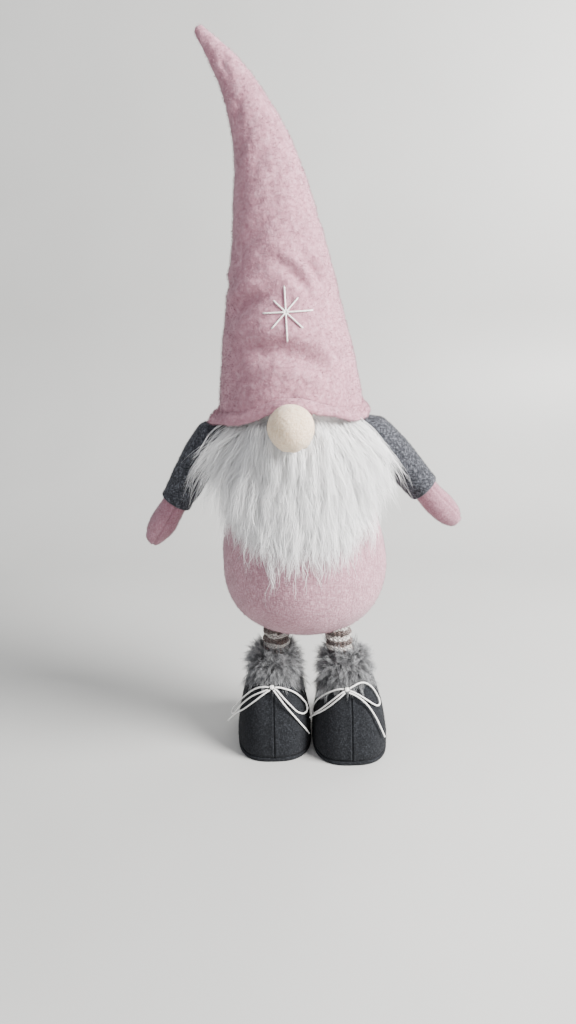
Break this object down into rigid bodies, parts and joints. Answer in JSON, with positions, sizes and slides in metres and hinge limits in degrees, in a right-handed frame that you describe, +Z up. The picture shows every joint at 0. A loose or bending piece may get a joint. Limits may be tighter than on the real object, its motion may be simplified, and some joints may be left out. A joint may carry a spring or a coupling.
{
  "type": "standing felt gnome figurine",
  "caption": "Standing felt gnome with a tall bendable hat, white beard, wired arms, telescopic striped legs, fur cuffs and felt boots tied with yarn bows.",
  "frame": {"origin": "on the floor at the middle of the object, seen from above", "axes": "+Z up, the gnome faces -Y, its left arm is on +X"},
  "size_m": [0.2676, 0.1539, 0.5877],
  "materials": {
    "hat_felt": "matte",
    "body_felt": "matte",
    "hand_felt": "matte",
    "sleeve_felt": "matte",
    "boot_felt": "matte",
    "nose_felt": "matte",
    "beard_fur": "matte",
    "cuff_fur": "matte",
    "sock_knit": "matte",
    "yarn": "matte",
    "stuffing": "matte",
    "board": "matte",
    "tube": "satin",
    "bush": "satin",
    "wire": "satin",
    "weight": "matte"
  },
  "bodies": {
    "torso": {"body_cover": "body_felt", "body_stuffing": "stuffing", "base_board": "board", "shoulder_wire": "wire", "nose_cover": "nose_felt", "nose_filling": "stuffing", "beard": "beard_fur", "hat_brim": "hat_felt", "hat_cone_lower": "hat_felt", "hat_stuffing_lower": "stuffing", "hat_wire_lower": "wire", "star_embroidery": "yarn", "right_leg_outer_tube": "tube", "right_leg_bush": "bush", "left_leg_outer_tube": "tube", "left_leg_bush": "bush"},
    "hat_tip": {"hat_cone_upper": "hat_felt", "hat_stuffing_upper": "stuffing", "hat_wire_upper": "wire"},
    "right_arm": {"right_sleeve": "sleeve_felt", "right_arm_stuffing": "stuffing", "right_arm_wire": "wire", "right_hand_cover": "hand_felt", "right_hand_stuffing": "stuffing"},
    "left_arm": {"left_sleeve": "sleeve_felt", "left_arm_stuffing": "stuffing", "left_arm_wire": "wire", "left_hand_cover": "hand_felt", "left_hand_stuffing": "stuffing"},
    "right_leg": {"right_sock": "sock_knit", "right_leg_inner_tube": "tube", "right_leg_stop_collar": "bush", "right_ankle_socket": "bush", "right_boot_sole": "boot_felt", "right_insole_board": "board", "right_boot_weight_bag": "weight", "right_boot_stuffing": "stuffing", "right_boot_upper": "boot_felt", "right_fur_cuff": "cuff_fur", "right_bootlace_knot": "yarn", "right_bootlace_loop_inner": "yarn", "right_bootlace_loop_outer": "yarn", "right_bootlace_tail_inner": "yarn", "right_bootlace_tail_outer": "yarn"},
    "left_leg": {"left_sock": "sock_knit", "left_leg_inner_tube": "tube", "left_leg_stop_collar": "bush", "left_ankle_socket": "bush", "left_boot_sole": "boot_felt", "left_insole_board": "board", "left_boot_weight_bag": "weight", "left_boot_stuffing": "stuffing", "left_boot_upper": "boot_felt", "left_fur_cuff": "cuff_fur", "left_bootlace_knot": "yarn", "left_bootlace_loop_inner": "yarn", "left_bootlace_loop_outer": "yarn", "left_bootlace_tail_inner": "yarn", "left_bootlace_tail_outer": "yarn"}
  },
  "joints": [
    {"name": "hat_bend", "type": "hinge", "parent": "torso", "child": "hat_tip", "pos_m": [-0.01733, 0.015, 0.455], "axis": [0, 1, 0], "range_deg": [-30, 35]},
    {"name": "right_arm_bend", "type": "hinge", "parent": "torso", "child": "right_arm", "pos_m": [-0.07032, 0.015, 0.2888], "axis": [0, 1, 0], "range_deg": [-12, 50]},
    {"name": "left_arm_bend", "type": "hinge", "parent": "torso", "child": "left_arm", "pos_m": [0.05787, 0.015, 0.2888], "axis": [0, -1, 0], "range_deg": [-12, 50]},
    {"name": "right_leg_slide", "type": "slide", "parent": "torso", "child": "right_leg", "axis": [-0.0348, 0, -0.9994], "range_m": [0, 0.11], "deforming": ["right_sock"]},
    {"name": "left_leg_slide", "type": "slide", "parent": "torso", "child": "left_leg", "axis": [0.0875, 0, -0.9962], "range_m": [0, 0.11], "deforming": ["left_sock"]}
  ]
}
